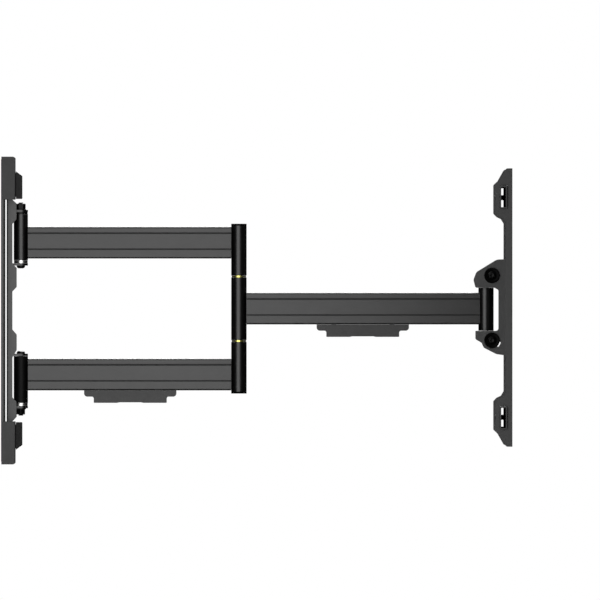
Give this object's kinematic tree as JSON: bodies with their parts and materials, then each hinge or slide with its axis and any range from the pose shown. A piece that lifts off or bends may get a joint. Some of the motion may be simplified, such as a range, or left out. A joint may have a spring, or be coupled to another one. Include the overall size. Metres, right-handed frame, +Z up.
{
  "type": "full motion tv wall mount",
  "caption": "Articulated wall mount: a narrow wall plate, twin rear arms and a forearm fold at hinges and carry a swivelling, tilting head with sliding TV brackets.",
  "frame": {"origin": "centre of the wall plate's back face, on the wall", "axes": "+X away from the wall towards the TV, +Z up, Y across; the arm is straight out at rest"},
  "size_m": [0.79, 0.44, 0.4764],
  "materials": {
    "plate_coat": "fine-textured charcoal powder coat on pressed steel",
    "channel_coat": "fine-textured charcoal powder coat on folded steel",
    "cover_plastic": "satin charcoal moulded plastic with a light grain",
    "arm_coat": "satin charcoal powder coat on rolled steel tube",
    "barrel_coat": "semi-gloss black coat on turned steel",
    "clip_plastic": "satin charcoal moulded plastic",
    "black_zinc": "black zinc plated steel, semi-gloss",
    "cap_plastic": "black moulded washer, satin",
    "white_nylon": "natural white nylon",
    "bright_steel": "polished steel",
    "pale_brass": "pale polished brass",
    "head_coat": "fine-textured charcoal powder coat on folded steel"
  },
  "bodies": {
    "wall": {"wall_plate": "plate_coat", "hinge_channel": "channel_coat", "channel_spacers": "black_zinc", "channel_rivets": "black_zinc", "upper_clevis": "barrel_coat", "lower_clevis": "barrel_coat", "top_cover": "cover_plastic", "bottom_cover": "cover_plastic", "shoulder_bolts": "black_zinc", "shoulder_nuts": "black_zinc", "shoulder_steel_washers": "black_zinc", "shoulder_thrust_washers": "bright_steel"},
    "rear_arm": {"upper_shoulder_barrel": "barrel_coat", "lower_shoulder_barrel": "barrel_coat", "shoulder_bushings": "white_nylon", "upper_rear_arm": "arm_coat", "lower_rear_arm": "arm_coat", "rear_cable_clip": "clip_plastic", "elbow_sleeve_top": "barrel_coat", "elbow_sleeve_bottom": "barrel_coat", "elbow_pin": "black_zinc", "elbow_nut": "black_zinc", "elbow_cap_top": "cap_plastic", "elbow_cap_bottom": "cap_plastic", "elbow_rear_bushings": "white_nylon", "elbow_thrust_washers": "pale_brass"},
    "front_arm": {"elbow_sleeve_middle": "barrel_coat", "elbow_middle_bushings": "white_nylon", "forearm": "arm_coat", "front_cable_clip": "clip_plastic", "head_knuckle": "barrel_coat", "knuckle_bushings": "white_nylon"},
    "swivel_head": {"swivel_yoke": "head_coat", "swivel_bolt": "black_zinc", "swivel_nut": "black_zinc", "swivel_thrust_washers": "white_nylon"},
    "tilt_head": {"tilt_bracket": "head_coat", "tilt_pivot_bolt": "black_zinc", "tilt_lock_bolt": "black_zinc", "tilt_cap_washers": "cap_plastic", "tilt_nuts": "black_zinc", "tilt_friction_discs": "white_nylon", "centre_plate": "head_coat", "centre_plate_screws": "black_zinc", "centre_plate_nuts": "black_zinc", "upper_rail": "head_coat", "lower_rail": "head_coat", "rail_bolts": "black_zinc", "rail_nuts": "black_zinc"},
    "left_bracket": {"tv_bracket_left": "head_coat", "left_lock_screws": "black_zinc"},
    "right_bracket": {"tv_bracket_right": "head_coat", "right_lock_screws": "black_zinc"}
  },
  "joints": [
    {"name": "shoulder_swing", "type": "hinge", "parent": "wall", "child": "rear_arm", "pos_m": [0.03, 0, 0], "axis": [0, 0, 1], "range_deg": [-90, 90]},
    {"name": "elbow_fold", "type": "hinge", "parent": "rear_arm", "child": "front_arm", "pos_m": [0.368, 0, 0], "axis": [0, 0, -1], "range_deg": [-165, 165]},
    {"name": "head_swivel", "type": "hinge", "parent": "front_arm", "child": "swivel_head", "pos_m": [0.751, 0, 0], "axis": [0, 0, 1], "range_deg": [-90, 90]},
    {"name": "head_tilt", "type": "hinge", "parent": "swivel_head", "child": "tilt_head", "pos_m": [0.76, 0, -0.0462], "axis": [0, 1, 0], "range_deg": [-2, 15]},
    {"name": "left_bracket_slide", "type": "slide", "parent": "tilt_head", "child": "left_bracket", "axis": [0, 1, 0], "range_m": [0, 0.1]},
    {"name": "right_bracket_slide", "type": "slide", "parent": "tilt_head", "child": "right_bracket", "axis": [0, -1, 0], "range_m": [0, 0.1]}
  ]
}
